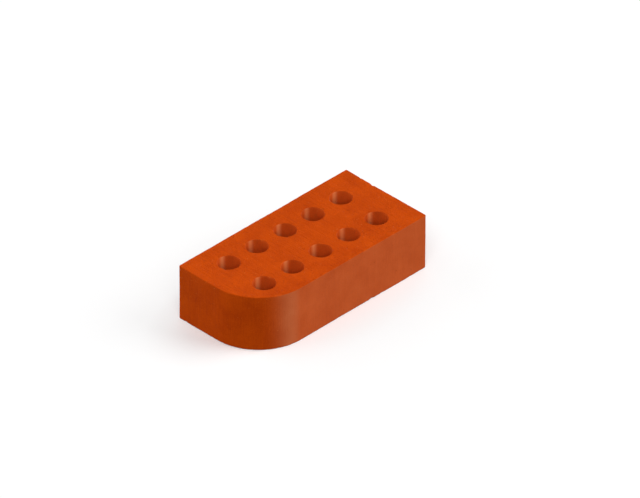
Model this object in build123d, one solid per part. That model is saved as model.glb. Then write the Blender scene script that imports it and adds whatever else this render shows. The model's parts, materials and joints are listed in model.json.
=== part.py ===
from build123d import *
import os

# A perforated clay brick with one bullnose corner, in millimetres.
#
# The brick is made in one piece. Clay is pushed through a die, which gives the plan outline,
# the bullnose and the round perforations, and a wire then cuts the column into bricks, which
# gives the two flat bed faces. It is dried and fired as it is.
#
# X runs along the brick, Y across it and Z up through the perforations. The bullnose is the
# corner at -X, -Y. The origin is the middle of the plan rectangle, on the lower bed face.

# Driving dimensions
BRICK_LENGTH = 220.0  # header face to header face, along X
BRICK_WIDTH = 105.0  # stretcher face to stretcher face, along Y
BRICK_HEIGHT = 60.0  # bed face to bed face, along Z
BULLNOSE_RADIUS = 55.0  # the one rounded corner, seen in plan
PERFORATION_DIAMETER = 22.0
PERFORATIONS_PER_ROW = 5  # along X
PERFORATION_ROWS = 2  # along Y
HEADER_SHELL = 25.5  # clay between a header face and the nearest perforations
STRETCHER_SHELL = 18.25  # clay between a stretcher face and the nearest perforations
DIE_ARRIS_RADIUS = 1.5  # the three square corners, as the die forms them
WIRE_ARRIS_RADIUS = 0.8  # the outer edges of both bed faces, as the wire and handling leave them
MOUTH_CHAMFER = 0.5  # the rim of each perforation, where the wire breaks the edge of the clay


def perforation_pitch(face_to_face, shell, count):
    """Pitch that spreads perforations evenly between two opposite faces and their shells of clay."""
    return (face_to_face - 2 * shell - PERFORATION_DIAMETER) / (count - 1)


def die_outline():
    """Plan outline of the clay column: three tight corners and the bullnose."""

    def from_bullnose(corner):
        return corner.X + corner.Y

    outline = Rectangle(BRICK_LENGTH, BRICK_WIDTH)
    square_corners = outline.vertices().sort_by(from_bullnose)[1:]
    outline = fillet(square_corners, DIE_ARRIS_RADIUS)
    bullnose_corner = outline.vertices().sort_by(from_bullnose)[0]
    return fillet(bullnose_corner, BULLNOSE_RADIUS)


def die_cores():
    """Plan of the rods in the die that leave the perforations, as a centred grid of circles."""
    column_pitch = perforation_pitch(BRICK_LENGTH, HEADER_SHELL, PERFORATIONS_PER_ROW)
    row_pitch = perforation_pitch(BRICK_WIDTH, STRETCHER_SHELL, PERFORATION_ROWS)
    grid = GridLocations(column_pitch, row_pitch, PERFORATIONS_PER_ROW, PERFORATION_ROWS)
    return [place * Circle(PERFORATION_DIAMETER / 2) for place in grid]


def bed_edges(solid, closed):
    """Edges of both bed faces: the closed ones are perforation rims, the others the outer arrises."""
    return [edge for edge in solid.faces().filter_by(Axis.Z).edges() if edge.is_closed == closed]


def bullnose_brick():
    """The fired brick: a cut length of the column, with the edges of both bed faces softened."""
    column = extrude(die_outline() - die_cores(), BRICK_HEIGHT)
    brick = fillet(bed_edges(column, closed=False), WIRE_ARRIS_RADIUS)
    return chamfer(bed_edges(brick, closed=True), MOUTH_CHAMFER)


os.makedirs("parts", exist_ok=True)
export_step(bullnose_brick(), "parts/bullnose_brick.step")
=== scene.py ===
import json
import math

import bpy
import numpy as np
from bpy.props import FloatProperty, FloatVectorProperty, IntProperty, PointerProperty
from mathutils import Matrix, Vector


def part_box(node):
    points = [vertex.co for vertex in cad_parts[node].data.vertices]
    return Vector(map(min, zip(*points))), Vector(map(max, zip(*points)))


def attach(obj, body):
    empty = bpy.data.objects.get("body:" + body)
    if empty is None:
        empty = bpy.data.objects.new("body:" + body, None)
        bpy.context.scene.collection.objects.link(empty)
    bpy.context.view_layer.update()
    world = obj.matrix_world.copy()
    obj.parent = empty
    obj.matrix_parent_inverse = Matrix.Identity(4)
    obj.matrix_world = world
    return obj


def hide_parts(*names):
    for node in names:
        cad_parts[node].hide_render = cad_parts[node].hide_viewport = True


bl_info = {
    "name": "Bullnose clay brick",
    "version": (1, 0, 0),
    "blender": (4, 5, 0),
    "location": "3D View > Sidebar > Brick",
    "description": "A perforated clay brick with a bullnose corner, on a plain studio floor",
    "category": "Add Mesh",
}

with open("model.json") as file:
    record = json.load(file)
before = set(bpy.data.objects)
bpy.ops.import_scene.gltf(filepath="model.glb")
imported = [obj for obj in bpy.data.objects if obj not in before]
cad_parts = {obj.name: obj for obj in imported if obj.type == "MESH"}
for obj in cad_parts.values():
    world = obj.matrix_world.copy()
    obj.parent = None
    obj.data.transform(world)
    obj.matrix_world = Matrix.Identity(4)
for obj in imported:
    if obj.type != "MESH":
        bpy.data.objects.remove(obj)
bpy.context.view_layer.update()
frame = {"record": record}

# What the frame calls the brick, its body and its finish
BRICK_NODE = "bullnose_brick"
BRICK_BODY = "root"

# Units, and the picture's size in pixels
MM = 0.001
IMAGE_WIDTH = 640
IMAGE_HEIGHT = 498

# The brick's box, and the axes and radius of its perforations, all as the frame gives them
BRICK_LOW, BRICK_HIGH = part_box(BRICK_NODE)
BORES = [mount for mount in frame["record"]["mounts"] if mount["kind"] == "bore"]
BORE_AXES = np.array([complex(*bore["pos_m"][:2]) for bore in BORES])
BORE_RADIUS = BORES[0]["dims"]["r_mm"] * MM

# Length of the streaks down the walls, as a share of the brick's height
STREAK_REACH_SHARE = 4

# Cosine waves in each random field of the relief
WAVE_COUNT = 64

# How high a field of unit spread is where it begins to nick an edge, and how much higher it nears full depth
NICK_LEVEL = 0.5
NICK_SPREAD = 2.0

# Mean of the noise that the finish is drawn from
NOISE_MEAN = 0.5

# What each vertex of the skin says about its finish, and how much painted sheen and highlight it takes
SKIN_ATTRIBUTES = ("wire_cut", "worn", "painted_sheen_share", "lining")

# Points of two patches that agree to this are one
WELD = 0.001 * MM

# Where each of the studio's lights comes from, in degrees: round from the front stretcher towards the square
# header, up, and how wide it looks from the brick
LAMPS = {
    "near_light": (-45, 42, 40),
    "right_light": (48, 32, 45),
    "back_light": (-145, 20, 60),
    "fill_light": (131, 10, 50),
}

# How far the camera sees, as a share of its distance from the brick
CLIP_REACH_SHARE = 3


def linear(hex_colour):
    """Linear red, green and blue of an sRGB hex colour such as #C04810, by the sRGB standard's curve."""
    srgb = np.array([int(hex_colour[i:i + 2], 16) / 255 for i in (1, 3, 5)])
    return tuple(np.where(srgb <= 0.04045, srgb / 12.92, ((srgb + 0.055) / 1.055) ** 2.4))


def length(name, millimetres, description):
    """A property for a length, whose default is given in millimetres."""
    return FloatProperty(name=name, description=description, default=millimetres * MM, min=0.0, unit="LENGTH")


def amount(name, value, description):
    """A property for a plain number of zero or more."""
    return FloatProperty(name=name, description=description, default=value, min=0.0)


def pixels(name, value, description):
    """A property for a distance in the picture, in pixels."""
    return FloatProperty(name=name, description=description, default=value, min=0.0, subtype="PIXEL")


def angle(name, degrees, description):
    """A property for an angle, whose default is given in degrees."""
    return FloatProperty(name=name, description=description, default=math.radians(degrees), subtype="ANGLE")


def colour(name, hex_colour, description):
    """A property for a colour, whose default is given as sRGB hex."""
    return FloatVectorProperty(
        name=name, description=description, default=linear(hex_colour), min=0.0, max=1.0, subtype="COLOR"
    )


class BrickForm(bpy.types.PropertyGroup):
    """Sizes of the brick's skin that its box and its record don't give"""

    bullnose_radius: length("Bullnose radius", 55.0, "The rounded corner, seen in plan")
    die_arris: length("Die arris", 1.5, "Radius of the three square corners")
    wire_arris: length("Wire arris", 0.8, "Radius of the outer edges of both bed faces")
    rim_round: length("Rim round", 0.5, "Radius of the rim of each perforation")
    mesh_step: length("Mesh step", 1.4, "Distance between the skin's vertices along the outline")
    wall_step: length("Wall step", 3.0, "Distance between the skin's vertices down the walls")
    round_parts: IntProperty(name="Round parts", description="Faces across an arris", default=4, min=1)
    hollow_length: length("Hollow length", 60.0, "Size of the shallow hollows left by drying and firing")
    hollow_depth: length("Hollow depth", 0.25, "Depth of those hollows")
    streak_width: length("Streak width", 6.0, "Width of the widest streaks down the walls")
    streak_depth: length("Streak depth", 0.08, "Depth of those streaks")
    furrow_width: length("Furrow width", 6.0, "Width of the widest furrows across the beds")
    furrow_depth: length("Furrow depth", 0.15, "Depth of those furrows")
    nick_length: length("Nick length", 4.0, "Length of the nicks along the edges of the beds")
    nick_depth: length("Nick depth", 0.9, "Depth of the deepest nicks")
    edge_reach: length("Edge reach", 3.0, "How far in from an edge its nicks and the relief past it reach")
    seed: IntProperty(name="Seed", description="Chooses where the relief falls", default=7)


class ClayFinish(bpy.types.PropertyGroup):
    """Colours and grain of the fired clay"""

    dark_body: colour("Dark body", "#AE3904", "Where the clay is fired darkest")
    pale_body: colour("Pale body", "#D35006", "Where the clay is fired palest")
    iron_speck: colour("Iron speck", "#7C2A0A", "Small spots of iron, burnt dark")
    sand_speck: colour("Sand speck", "#CE6A34", "Small grains of sand at the surface")
    fresh_body: colour("Fresh body", "#CF5A1B", "Clay laid bare where an edge is nicked")
    # These two colours are painted sheen and highlight, not a film on the clay: one on the walls that face
    # the front stretcher, a paler one in the perforations
    painted_sheen: colour("Bloom", "#CA6B40", "Pale film that the kiln's draught leaves on the walls that face it")
    lining_painted_highlight: colour("Lining bloom", "#E3814C", "That film in the perforations, where nothing rubs it")
    mottle_size: length("Mottle size", 26.0, "Width of the patches")
    grain_size: length("Grain size", 1.2, "Width of the grains")
    spot_size: length("Spot size", 1.8, "Width of the pits, the iron and the sand")
    streak_width: length("Streak width", 1.3, "Width of the fine streaks")
    streak_length: length("Streak length", 25.0, "Length of the fine streaks")
    detail: amount("Detail", 3.0, "How many finer copies each pattern has in it")
    detail_strength: amount("Detail strength", 0.6, "How strong each finer copy is beside the one before")
    mottle_share: amount("Mottle share", 0.48, "How far the patches set the tone")
    grain_share: amount("Grain share", 0.32, "How far the grains set the tone")
    streak_share: amount("Streak share", 0.2, "How far the streaks set the tone")
    tone_spread: amount("Tone spread", 0.2, "How far from its mean the tone is darkest and palest")
    iron_start: amount("Iron start", 0.70, "How high its field is where a spot of iron begins")
    sand_start: amount("Sand start", 0.69, "How high its field is where a grain of sand begins")
    spot_edge: amount("Spot edge", 0.04, "How much higher the field is where a spot is full")
    die_pits: amount("Die pits", 0.70, "How high its field is where a pit begins on the walls")
    wire_pits: amount("Wire pits", 0.62, "How high its field is where a pit begins on the beds")
    pit_bottom: amount("Pit bottom", 0.80, "How high its field is where a pit is deepest")
    die_relief: length("Die relief", 0.16, "Height of the grains and streaks on the walls")
    wire_relief: length("Wire relief", 0.7, "Height of the grains and streaks on the beds")
    die_roughness: amount("Die roughness", 0.55, "Roughness of the smooth walls that the die formed")
    wire_roughness: amount("Wire roughness", 0.85, "Roughness of the beds that the wire cut")
    # The painted sheen and highlight: its strength in thin and thick patches, its least share round the
    # perforations, the side it faces, and how narrow the highlight is
    thin_painted_sheen: amount("Thin bloom", 0.45, "How far the film hides the body in its thinnest patches")
    thick_painted_sheen: amount("Thick bloom", 1.2, "How far the film hides the body in its thickest patches")
    lining_highlight_share: amount("Lining share", 0.13, "Least share of the film all round the perforations")
    highlight_turn: angle("Draught turn", -12.0, "Side that the draught came from, from the front stretcher")
    highlight_focus: amount("Draught focus", 32.0, "How squarely a wall must face the draught to take the film")
    gloss: amount("Gloss", 0.03, "Specular level of the fired clay")


class Studio(bpy.types.PropertyGroup):
    """The floor, the light and the camera"""

    floor: colour("Floor", "#FFFFFF", "Colour of the floor as the camera sees it")
    floor_bounce: colour("Floor bounce", "#595959", "Colour of the floor for the light that it throws back")
    floor_size: length("Floor size", 60000.0, "Side of the floor's square")
    floor_glow: amount("Floor glow", 0.7, "Share of the floor's white, off the brick, that no shadow dims")
    glow_fade: amount("Glow fade", 0.8, "How far off the glow is full, in halves of the brick's own size")
    sky: amount("Sky", 0.12, "Strength of the even light from all round")
    near_light: amount("Near light", 0.51, "Light from the camera's side; 1 shows a colour as written")
    right_light: amount("Right light", 0.73, "Light from the right; 1 shows a colour as written")
    back_light: amount("Back light", 0.52, "Low light from behind on the left; 1 shows a colour as written")
    fill_light: amount("Fill light", 0.3, "Low light from behind on the right; 1 shows a colour as written")
    azimuth: angle("Azimuth", -45.0, "Direction the camera looks from, turned from the front stretcher")
    elevation: angle("Elevation", 35.264, "Height of the camera above the horizon")
    lens: FloatProperty(
        name="Lens",
        description="Focal length, long so that lines stay parallel",
        default=1000.0,
        unit="CAMERA",
    )
    frame_width: length("Frame width", 594.2, "Width of the picture at the brick")
    centre_x: pixels("Centre across", 302.65, "The middle of the brick's box, from the left of the picture")
    centre_y: pixels("Centre down", 266.4, "The middle of the brick's box, from the top of the picture")


# Plan points are complex numbers, x + iy, so that a turn by a right angle is a product with i


def line(start, end, step):
    """Evenly spaced plan points from start to end, both included."""
    parts = max(1, round(abs(end - start) / step))
    return start + (end - start) * np.linspace(0.0, 1.0, parts + 1)


def corner_arc(centre, radius, first_normal, step, least_parts):
    """Plan points and outward normals of a quarter circle, counter-clockwise from the first normal."""
    parts = max(least_parts, round(radius * math.pi / 2 / step))
    normals = first_normal * np.exp(0.5j * math.pi * np.linspace(0.0, 1.0, parts + 1))
    return centre + radius * normals, normals


def cell_bounds(low, high, centres, inset, tangent):
    """Edges of the cells along one axis: the bed's ends, and lines halfway between the perforations.

    The first inner line is where the bullnose ends, so that the whole arc lies in one cell.
    """
    inner = (centres[:-1] + centres[1:]) / 2
    inner[0] = tangent
    return np.concatenate([[low + inset], inner, [high - inset]])


def cell_stretches(x, y, outer, form):
    """Boundary of one cell of a bed, counter-clockwise, as stretches of points and outward normals.

    A side is a straight line, left out where the corners take up all of it. Where two outer sides meet, a
    quarter circle takes the corner's place: the bullnose at the last corner, and a tight arris at the others.
    A normal of zero marks a side that the cell shares with another.
    """
    corners = [complex(x[1], y[0]), complex(x[1], y[1]), complex(x[0], y[1]), complex(x[0], y[0])]
    radii = [form.die_arris, form.die_arris, form.die_arris, form.bullnose_radius]
    trims = [radii[k] - form.wire_arris if outer[k] and outer[(k + 1) % 4] else 0.0 for k in range(4)]
    stretches = []
    for k in range(4):
        along = 1j ** k
        outward = along / 1j
        start = corners[k - 1] + trims[k - 1] * along
        end = corners[k] - trims[k] * along
        if abs(end - start) > form.wire_arris:
            points = line(start, end, form.mesh_step)
            stretches.append((points, np.full(len(points), outward if outer[k] else 0.0)))
        if trims[k]:
            arc_centre = end + trims[k] * along * 1j
            stretches.append(corner_arc(arc_centre, trims[k], outward, form.mesh_step, form.round_parts))
    return stretches


def grid_faces(shape, closed, flip):
    """Quads of a grid of vertices with that many rows and columns, joined end to end if closed."""
    index = np.arange(shape[0] * shape[1]).reshape(shape)
    if closed:
        index = np.hstack([index, index[:, :1]])
    quads = np.stack([index[:-1, :-1], index[1:, :-1], index[1:, 1:], index[:-1, 1:]], axis=-1).reshape(-1, 4)
    return quads[:, ::-1] if flip else quads


def patch(plan, z, plan_normal, z_normal, closed, flip):
    """A grid of points in space with their normals, and its faces."""
    shape = plan.shape
    points = np.stack([plan.real, plan.imag, np.broadcast_to(z, shape)], axis=-1)
    normals = np.stack([plan_normal.real, plan_normal.imag, np.broadcast_to(z_normal, shape)], axis=-1)
    return points.reshape(-1, 3), normals.reshape(-1, 3), grid_faces(shape, closed, flip)


def graded(rows):
    """Shares from 0 to 1 in that many steps, closer together towards both ends, as a cosine gives them."""
    return (1 - np.cos(np.linspace(0.0, math.pi, rows + 1))) / 2


def bed_patch(loop, centre, form, top):
    """One cell of a bed face: straight rays from the rim of its perforation out to the cell's boundary."""
    rays = loop - centre
    rim = (BORE_RADIUS + form.rim_round) * rays / abs(rays)
    rows = round(float(np.mean(abs(rays - rim))) / form.mesh_step)
    plan = centre + rim + graded(rows)[:, None] * (rays - rim)
    z, normal = (BRICK_HIGH.z, 1.0) if top else (BRICK_LOW.z, -1.0)
    return patch(plan, z, np.zeros_like(plan), normal, closed=True, flip=not top)


def wall_profile(edge_radius, form):
    """Section of a wall from the upper bed to the lower: a quarter round, a straight drop, a quarter round.

    Returns four columns: depth into the clay from the wall's face, height, and the normal's two parts,
    away from the clay and upwards.
    """
    turn = np.linspace(0.0, math.pi / 2, form.round_parts + 1)
    into = edge_radius * (1 - np.sin(turn))
    drop = edge_radius * (1 - np.cos(turn))
    top, bottom = BRICK_HIGH.z - edge_radius, BRICK_LOW.z + edge_radius
    rows = round((top - bottom) / form.wall_step)
    straight = top - graded(rows)[1:-1] * (top - bottom)
    flat = np.zeros_like(straight)
    depth = np.concatenate([into, flat, into[::-1]])
    height = np.concatenate([BRICK_HIGH.z - drop, straight, BRICK_LOW.z + drop[::-1]])
    away = np.concatenate([np.sin(turn), flat + 1, np.sin(turn)[::-1]])
    up = np.concatenate([np.cos(turn), flat, -np.cos(turn)[::-1]])
    return depth[:, None], height[:, None], away[:, None], up[:, None]


def wall_patch(face, outward, edge_radius, form, closed):
    """A wall: its section carried along the plan line of its face, with the given outward normals.

    A closed line goes round a perforation, whose wall faces the other way, so its faces are flipped.
    """
    depth, height, away, up = wall_profile(edge_radius, form)
    return patch(face - outward * depth, height, outward * away, up, closed=closed, flip=closed)


def brick_patches(form):
    """Every patch of the skin: for each perforation, its cell of both beds, its lining and any outer wall."""
    columns = np.unique(BORE_AXES.real)
    rows = np.unique(BORE_AXES.imag)
    tangent = BRICK_LOW.xy + Vector((form.bullnose_radius, form.bullnose_radius))
    x = cell_bounds(BRICK_LOW.x, BRICK_HIGH.x, columns, form.wire_arris, tangent.x)
    y = cell_bounds(BRICK_LOW.y, BRICK_HIGH.y, rows, form.wire_arris, tangent.y)
    for i, column in enumerate(columns):
        for j, row in enumerate(rows):
            centre = complex(column, row)
            outer = (j == 0, i == len(columns) - 1, j == len(rows) - 1, i == 0)
            stretches = cell_stretches(x[i:i + 2], y[j:j + 2], outer, form)
            loop = np.concatenate([points[:-1] for points, _ in stretches])
            yield bed_patch(loop, centre, form, top=True)
            yield bed_patch(loop, centre, form, top=False)
            inward = -(loop - centre) / abs(loop - centre)
            yield wall_patch(centre - BORE_RADIUS * inward, inward, form.rim_round, form, closed=True)
            for points, normals in stretches:
                if normals.any():
                    face = points + form.wire_arris * normals
                    yield wall_patch(face, normals, form.wire_arris, form, closed=False)


def waves(points, lengths, rng):
    """A smooth random field of zero mean and unit spread.

    It is a sum of cosine waves with random directions, whose typical length along each axis is given.
    """
    wave_numbers = rng.normal(size=(WAVE_COUNT, 3)) * (math.pi / np.array(lengths))
    phases = rng.uniform(0.0, 2 * math.pi, WAVE_COUNT)
    return np.cos(points @ wave_numbers.T + phases).sum(axis=1) * math.sqrt(2 / WAVE_COUNT)


def level(field):
    """A field of unit spread, bent into the range from 0 to 1: the logistic curve of twice its value."""
    return 1 / (1 + np.exp(-2 * field))


def nearest_wall(plan, form):
    """How deep in the clay each plan point lies, and the outward normal of the wall that is nearest to it.

    A wall is a straight side, the lining of a perforation, or a rounded corner, which counts only for the
    points between its axis and the corner.
    """
    low, high = complex(*BRICK_LOW.xy), complex(*BRICK_HIGH.xy)
    middle, half = (low + high) / 2, (high - low) / 2
    side_normals = np.array([[-1], [1], [-1j], [1j]])
    side_reach = np.array([[half.real], [half.real], [half.imag], [half.imag]])
    side_depth = side_reach - ((plan - middle) * side_normals.conj()).real

    signs = np.array([[-1 - 1j], [1 - 1j], [1 + 1j], [-1 + 1j]])
    radii = np.array([[form.bullnose_radius], [form.die_arris], [form.die_arris], [form.die_arris]])
    axes = middle + signs.real * (half.real - radii) + 1j * signs.imag * (half.imag - radii)
    from_axis = plan - axes
    in_corner = (from_axis.real * signs.real > 0) & (from_axis.imag * signs.imag > 0)
    corner_depth = np.where(in_corner, radii - abs(from_axis), np.inf)

    from_bore = plan - BORE_AXES[:, None]
    depth = np.concatenate([side_depth, corner_depth, abs(from_bore) - BORE_RADIUS])
    outward = np.concatenate([
        np.broadcast_to(side_normals, side_depth.shape),
        np.exp(1j * np.angle(from_axis)),
        -np.exp(1j * np.angle(from_bore)),
    ])
    nearest = depth.argmin(axis=0)[None]
    return np.take_along_axis(depth, nearest, 0)[0], np.take_along_axis(outward, nearest, 0)[0]


def nearness(depth, form):
    """Falls from 1 at a surface to 0 at the edges' reach, as the square of what is left of that reach."""
    return (1 - depth / form.edge_reach).clip(0, 1) ** 2


def fired_skin(points, form):
    """Points of the true form, sunk as drying, cutting and handling leave them, and how worn each one is.

    A point moves into the nearest wall by shallow hollows and upright streaks, and into the nearer bed by the
    same hollows and by furrows across it, both times its nearness to that surface. Where both are near, a
    nick takes it further into both. How worn a point is follows from how far a random field stands above a
    level: one less a bell curve of that, times the nearness to both.
    """
    rng = np.random.default_rng(form.seed)
    plan, z = points[:, 0] + 1j * points[:, 1], points[:, 2]
    height, width = BRICK_HIGH.z - BRICK_LOW.z, BRICK_HIGH.y - BRICK_LOW.y
    wall_depth, outward = nearest_wall(plan, form)
    upward = np.sign(z - BRICK_LOW.z - height / 2)
    near_wall = nearness(wall_depth, form)
    near_bed = nearness(np.minimum(z - BRICK_LOW.z, BRICK_HIGH.z - z), form)

    above = (waves(points, [form.nick_length] * 3, rng) - NICK_LEVEL).clip(0)
    worn = (1 - np.exp(-(above / NICK_SPREAD) ** 2)) * near_wall * near_bed
    hollow = waves(points, [form.hollow_length] * 3, rng)
    streak = waves(points, [form.streak_width, form.streak_width, STREAK_REACH_SHARE * height], rng)
    furrow = waves(points, [form.furrow_width, width, height], rng)

    nick, sag = form.nick_depth * worn, form.hollow_depth * level(hollow)
    plan = plan - outward * (nick + near_wall * (sag + form.streak_depth * level(streak)))
    z = z - upward * (nick + near_bed * (sag + form.furrow_depth * level(furrow)))
    return np.stack([plan.real, plan.imag, z], axis=-1), worn


def welded(patches):
    """Points, normals and faces of all the patches, with the points that lie on each other made one."""
    points = np.concatenate([p for p, _, _ in patches])
    normals = np.concatenate([n for _, n, _ in patches])
    starts = np.cumsum([0] + [len(p) for p, _, _ in patches[:-1]])
    faces = np.concatenate([f + start for (_, _, f), start in zip(patches, starts)])
    cells = np.rint(points / WELD).astype(np.int64)
    _, first, merged = np.unique(cells, axis=0, return_index=True, return_inverse=True)
    return points[first], normals[first], merged.reshape(-1)[faces]


def direction(turn, rise):
    """Unit vector turned from the front stretcher towards the square header, and raised, by those angles."""
    return Vector((math.sin(turn) * math.cos(rise), -math.cos(turn) * math.cos(rise), math.sin(rise)))


def facing(normals, turn, focus):
    """How squarely each wall faces a side: the cosine between its normal and that side, raised to a power."""
    return (normals @ np.array(direction(turn, 0.0))).clip(0) ** focus


def in_perforation(points, normals, form):
    """1 on the walls of the perforations and 0 elsewhere.

    Over a rim it falls as the squared sine of the angle between the normal and the upright.
    """
    from_axis = abs(points[:, 0] + 1j * points[:, 1] - BORE_AXES[:, None]).min(axis=0)
    return (from_axis < BORE_RADIUS + form.rim_round) * (1 - normals[:, 2] ** 2)


def skin_mesh(name, form, clay):
    """The brick's closed skin: all patches, welded where they meet, and sunk as fired and handled.

    The attribute wire_cut, the square of the normal's upright part, is 1 on the beds that the wire cut and 0
    on the walls that the die formed. The attribute worn is 1 where an edge is nicked. The third, the share of
    painted sheen and highlight, is 1 on the walls that face the highlight's side and less all round the
    perforations, and lining is 1 in these.
    """
    points, normals, faces = welded(list(brick_patches(form)))
    skin, worn = fired_skin(points, form)
    mesh = bpy.data.meshes.new(name)
    mesh.from_pydata(skin, [], faces)
    lining = in_perforation(points, normals, form)
    # Painted sheen and highlight: full on the walls that squarely face its side, and a least share painted
    # all round the perforations
    painted_sheen_share = np.maximum(facing(normals, clay.highlight_turn, clay.highlight_focus), clay.lining_highlight_share * lining)
    for attribute, values in zip(SKIN_ATTRIBUTES, (normals[:, 2] ** 2, worn, painted_sheen_share, lining)):
        mesh.attributes.new(attribute, "FLOAT", "POINT").data.foreach_set("value", values)
    mesh.shade_smooth()
    return mesh


def add(tree, kind, inputs=None, output=None, **settings):
    """Adds a node with its settings and links, and returns the output that is named, or else the node.

    An input given a socket is linked to it, and any other is set. Sockets go by identifier or by name.
    """
    node = tree.nodes.new(kind)
    for name, value in settings.items():
        setattr(node, name, value)
    for name, value in (inputs or {}).items():
        socket = next(s for s in node.inputs if name in (s.identifier, s.name))
        if isinstance(value, bpy.types.NodeSocket):
            tree.links.new(value, socket)
        else:
            socket.default_value = value
    return next(s for s in node.outputs if output in (s.identifier, s.name)) if output else node


def opaque(rgb):
    """A colour with full alpha, as a node's colour socket takes it."""
    return (*rgb, 1.0)


def emptied_tree(owner):
    """The node tree of a material or a world, with nothing in it."""
    owner.use_nodes = True
    owner.node_tree.nodes.clear()
    return owner.node_tree


def fired_clay(clay):
    """Extruded, wire-cut and fired red clay.

    The die leaves the walls smooth, with fine upright streaks and a faint sheen. The wire leaves the
    beds rougher, torn across into streaks and pits. The body is an even orange red, a little mottled
    and sandy, with sparse dark spots of iron and pale grains of sand, and paler where an edge is nicked.
    A painted sheen and highlight lies on the walls that face the front stretcher, strongest where the
    bullnose meets the long face, and is palest in the perforations.
    """
    material = bpy.data.materials.new("fired_clay")
    tree = emptied_tree(material)
    place = add(tree, "ShaderNodeTexCoord", output="Object")
    wire_cut, worn, painted_sheen_share, lining = (
        add(tree, "ShaderNodeAttribute", output="Fac", attribute_name=name) for name in SKIN_ATTRIBUTES
    )

    # Patches, grains, spots, and streaks that run down the walls and across the beds. The grains, spots and
    # streaks are drawn coarser than real ones, which are a fraction of a millimetre wide, so that they show
    fine, long = 1 / clay.streak_width, 1 / clay.streak_length
    patterns = {
        "mottle": ([1 / clay.mottle_size] * 3, "Fac"),
        "grain": ([1 / clay.grain_size] * 3, "Fac"),
        "spots": ([1 / clay.spot_size] * 3, "Color"),
        "upright": ([fine, fine, long], "Fac"),
        "across": ([fine, long, long], "Fac"),
    }
    fields = {}
    for name, (scale, output) in patterns.items():
        vector = add(tree, "ShaderNodeMapping", {"Vector": place, "Scale": scale}, "Vector")
        noise = {"Vector": vector, "Scale": 1.0, "Detail": clay.detail, "Roughness": clay.detail_strength}
        fields[name] = add(tree, "ShaderNodeTexNoise", noise, output)

    # What differs from the walls to the beds
    ranges = {
        "streak": (fields["upright"], fields["across"]),
        "pit_start": (clay.die_pits, clay.wire_pits),
        "roughness": (clay.die_roughness, clay.wire_roughness),
        "depth": (clay.die_relief, clay.wire_relief),
    }
    for name, (wall, bed) in ranges.items():
        blend = {"Value": wire_cut, "To Min": wall, "To Max": bed}
        fields[name] = add(tree, "ShaderNodeMapRange", blend, "Result")

    # Spots: three unrelated fields, each kept only where it is highest
    channels = add(tree, "ShaderNodeSeparateColor", {"Color": fields["spots"]}).outputs
    spots = {
        "pits": (channels["Red"], fields["pit_start"], clay.pit_bottom),
        "iron": (channels["Green"], clay.iron_start, clay.iron_start + clay.spot_edge),
        "sand": (channels["Blue"], clay.sand_start, clay.sand_start + clay.spot_edge),
    }
    for name, (value, start, full) in spots.items():
        fields[name] = add(
            tree, "ShaderNodeMapRange", {"Value": value, "From Min": start, "From Max": full}, "Result"
        )

    # Tone, from 0 where the clay is fired darkest to 1 where it is fired palest
    tone = 0.0
    shares = {"mottle": clay.mottle_share, "grain": clay.grain_share, "streak": clay.streak_share}
    for name, share in shares.items():
        terms = {"Value": fields[name], "Value_001": share, "Value_002": tone}
        tone = add(tree, "ShaderNodeMath", terms, "Value", operation="MULTIPLY_ADD")
    low, high = NOISE_MEAN - clay.tone_spread, NOISE_MEAN + clay.tone_spread
    tone = add(tree, "ShaderNodeMapRange", {"Value": tone, "From Min": low, "From Max": high}, "Result")

    # Colour, one layer over another
    # Painted sheen and highlight, patchy in strength and paler on the lining of the perforations, laid over
    # the body as one of the layers
    thickness = {"Value": fields["mottle"], "To Min": clay.thin_painted_sheen, "To Max": clay.thick_painted_sheen}
    terms = {"Value": painted_sheen_share, "Value_001": add(tree, "ShaderNodeMapRange", thickness, "Result")}
    painted_sheen_amount = add(tree, "ShaderNodeMath", terms, "Value", operation="MULTIPLY")
    blend = {"Factor_Float": lining, "A_Color": opaque(clay.painted_sheen), "B_Color": opaque(clay.lining_painted_highlight)}
    painted_sheen_tint = add(tree, "ShaderNodeMix", blend, "Result_Color", data_type="RGBA")
    layers = (
        (tone, opaque(clay.pale_body)),
        (painted_sheen_amount, painted_sheen_tint),
        (worn, opaque(clay.fresh_body)),
        (fields["sand"], opaque(clay.sand_speck)),
        (fields["iron"], opaque(clay.iron_speck)),
    )
    body = opaque(clay.dark_body)
    for share, tint in layers:
        blend = {"Factor_Float": share, "A_Color": body, "B_Color": tint}
        body = add(tree, "ShaderNodeMix", blend, "Result_Color", data_type="RGBA")

    # Relief in metres, whose mean is zero but for the pits, so that beds and walls meet without a step
    relief = fields["streak"]
    steps = (
        ("ADD", fields["grain"]),
        ("SUBTRACT", 2 * NOISE_MEAN),
        ("SUBTRACT", fields["pits"]),
        ("MULTIPLY", fields["depth"]),
    )
    for operation, value in steps:
        terms = {"Value": relief, "Value_001": value}
        relief = add(tree, "ShaderNodeMath", terms, "Value", operation=operation)
    bump = add(tree, "ShaderNodeBump", {"Height": relief, "Distance": 1.0}, "Normal")

    surface = {
        "Base Color": body,
        "Roughness": fields["roughness"],
        "Specular IOR Level": clay.gloss,
        "Normal": bump,
    }
    shader = add(tree, "ShaderNodeBsdfPrincipled", surface, "BSDF")
    add(tree, "ShaderNodeOutputMaterial", {"Surface": shader})
    return material


def new_object(context, name, data):
    """An object with that name and data, put into the scene."""
    made = bpy.data.objects.new(name, data)
    context.scene.collection.objects.link(made)
    return made


class BRICK_OT_fired_brick(bpy.types.Operator):
    """Makes the brick's fired skin in the place of its CAD node"""

    bl_idname = "brick.fired_brick"
    bl_label = "Fired brick"

    def execute(self, context):
        clay = context.scene.clay_finish
        mesh = skin_mesh("fired_brick", context.scene.brick_form, clay)
        mesh.materials.append(fired_clay(clay))
        brick = new_object(context, "fired_brick", mesh)
        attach(brick, BRICK_BODY)
        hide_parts(BRICK_NODE)
        return {"FINISHED"}


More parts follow.
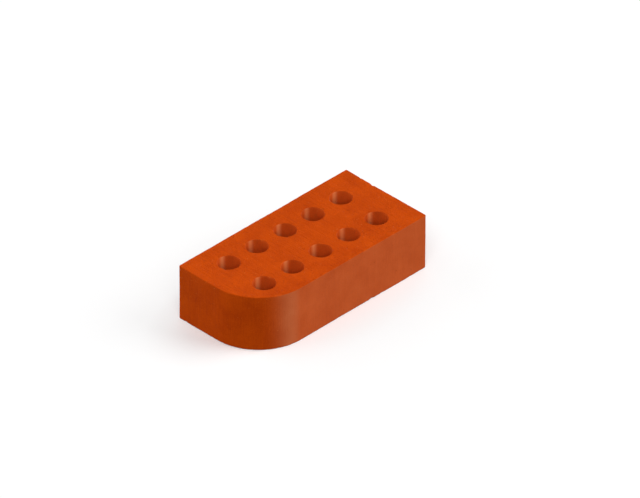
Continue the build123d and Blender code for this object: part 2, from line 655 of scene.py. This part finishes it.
def seen_directly(tree):
    """1 for a ray that shows a thing to the camera, also through gloss or glass, and 0 for any other ray."""
    rays = add(tree, "ShaderNodeLightPath").outputs
    seen = rays["Is Camera Ray"]
    for ray in ("Is Glossy Ray", "Is Transmission Ray"):
        either = {"Value": seen, "Value_001": rays[ray]}
        seen = add(tree, "ShaderNodeMath", either, "Value", operation="MAXIMUM")
    return seen


def white_floor(studio):
    """Matt white acrylic, lit from below except under the brick, so that the brick's shadow is pale and soft.

    It throws less light back than it shows, so that the brick's walls keep their shading.
    """
    material = bpy.data.materials.new("matt_white_acrylic")
    material.cycles.emission_sampling = "NONE"
    tree = emptied_tree(material)
    seen = seen_directly(tree)
    blend = {"Factor_Float": seen, "A_Color": opaque(studio.floor_bounce), "B_Color": opaque(studio.floor)}
    tint = add(tree, "ShaderNodeMix", blend, "Result_Color", data_type="RGBA")
    matt = add(tree, "ShaderNodeBsdfDiffuse", {"Color": tint}, "BSDF")
    glow = add(tree, "ShaderNodeEmission", {"Color": opaque(studio.floor), "Strength": 1.0}, "Emission")

    # Distance from the middle of the brick, which is 1 at the middle of each of its sides
    half = (BRICK_HIGH - BRICK_LOW) / 2
    place = add(tree, "ShaderNodeTexCoord", output="Object")
    plan = add(tree, "ShaderNodeMapping", {"Vector": place, "Scale": (1 / half.x, 1 / half.y, 0.0)}, "Vector")
    away = add(tree, "ShaderNodeVectorMath", {"Vector": plan}, "Value", operation="LENGTH")
    fade = {"Value": away, "From Min": 1.0, "From Max": 1.0 + studio.glow_fade, "To Max": studio.floor_glow}
    terms = {"Value": seen, "Value_001": add(tree, "ShaderNodeMapRange", fade, "Result")}
    share = add(tree, "ShaderNodeMath", terms, "Value", operation="MULTIPLY")
    surface = add(tree, "ShaderNodeMixShader", {"Fac": share, "Shader": matt, "Shader_001": glow}, "Shader")
    add(tree, "ShaderNodeOutputMaterial", {"Surface": surface})
    return material


def lay_floor(context, studio):
    """A square at height zero, where the brick stands, wide enough to fill every view."""
    half = studio.floor_size / 2
    mesh = bpy.data.meshes.new("floor")
    corners = [(-half, -half, 0), (half, -half, 0), (half, half, 0), (-half, half, 0)]
    mesh.from_pydata(corners, [], [(0, 1, 2, 3)])
    mesh.materials.append(white_floor(studio))
    floor = new_object(context, "floor", mesh)


def hang_light(context, name, strength, turn, rise, softness):
    """A soft light far away. At strength 1, a face turned straight to it shows its colour as written."""
    light = bpy.data.lights.new(name, "SUN")
    light.energy = math.pi * strength
    light.angle = softness
    lamp = new_object(context, name, light)
    lamp.rotation_euler = direction(turn, rise).to_track_quat("Z", "Y").to_euler()


def light_sky(context, studio):
    """Even light from all round, of the floor's white where the camera sees it."""
    world = bpy.data.worlds.new("studio")
    tree = emptied_tree(world)
    blend = {"Value": seen_directly(tree), "To Min": studio.sky, "To Max": 1.0}
    strength = add(tree, "ShaderNodeMapRange", blend, "Result")
    even_white = {"Color": opaque(studio.floor), "Strength": strength}
    sky = add(tree, "ShaderNodeBackground", even_white, "Background")
    add(tree, "ShaderNodeOutputWorld", {"Surface": sky})
    context.scene.world = world


def aim_camera(context, studio):
    """A long lens, placed so that the middle of the brick's box falls on its pixel of the picture."""
    rotation = direction(studio.azimuth, studio.elevation).to_track_quat("Z", "Y")
    data = bpy.data.cameras.new("camera")
    data.lens = studio.lens
    pixel = studio.frame_width / IMAGE_WIDTH
    right = (IMAGE_WIDTH / 2 - studio.centre_x) * pixel
    up = (studio.centre_y - IMAGE_HEIGHT / 2) * pixel
    distance = studio.frame_width * data.lens / data.sensor_width
    data.clip_end = CLIP_REACH_SHARE * distance
    camera = new_object(context, "camera", data)
    camera.rotation_mode = "QUATERNION"
    camera.rotation_quaternion = rotation
    camera.location = (BRICK_LOW + BRICK_HIGH) / 2 + rotation @ Vector((right, up, distance))
    context.scene.camera = camera


class BRICK_OT_stage(bpy.types.Operator):
    """Lays the floor, hangs the lights and aims the camera"""

    bl_idname = "brick.stage"
    bl_label = "Stage"

    def execute(self, context):
        studio = context.scene.brick_studio
        lay_floor(context, studio)
        light_sky(context, studio)
        for name, angles in LAMPS.items():
            hang_light(context, name, getattr(studio, name), *map(math.radians, angles))
        aim_camera(context, studio)
        context.scene.view_settings.view_transform = "Standard"
        return {"FINISHED"}


class BRICK_PT_sidebar(bpy.types.Panel):
    """Lists the brick's steps and settings"""

    bl_idname = "BRICK_PT_sidebar"
    bl_label = "Bullnose clay brick"
    bl_space_type = "VIEW_3D"
    bl_region_type = "UI"
    bl_category = "Brick"

    def draw(self, context):
        steps = (
            (BRICK_OT_fired_brick, context.scene.brick_form),
            (None, context.scene.clay_finish),
            (BRICK_OT_stage, context.scene.brick_studio),
        )
        for operator, settings in steps:
            box = self.layout.box()
            if operator:
                box.operator(operator.bl_idname)
            for name in settings.__annotations__:
                box.prop(settings, name)


CLASSES = (BrickForm, ClayFinish, Studio, BRICK_OT_fired_brick, BRICK_OT_stage, BRICK_PT_sidebar)


def register():
    """Makes the settings, the steps and the panel known to Blender."""
    for cls in CLASSES:
        bpy.utils.register_class(cls)
    bpy.types.Scene.brick_form = PointerProperty(type=BrickForm)
    bpy.types.Scene.clay_finish = PointerProperty(type=ClayFinish)
    bpy.types.Scene.brick_studio = PointerProperty(type=Studio)


def unregister():
    """Takes them away again, in the opposite order."""
    del bpy.types.Scene.brick_studio
    del bpy.types.Scene.clay_finish
    del bpy.types.Scene.brick_form
    for cls in reversed(CLASSES):
        bpy.utils.unregister_class(cls)


def main():
    """Builds the brick and its stage."""
    register()
    bpy.ops.brick.fired_brick()
    bpy.ops.brick.stage()


if __name__ == "__main__":
    main()
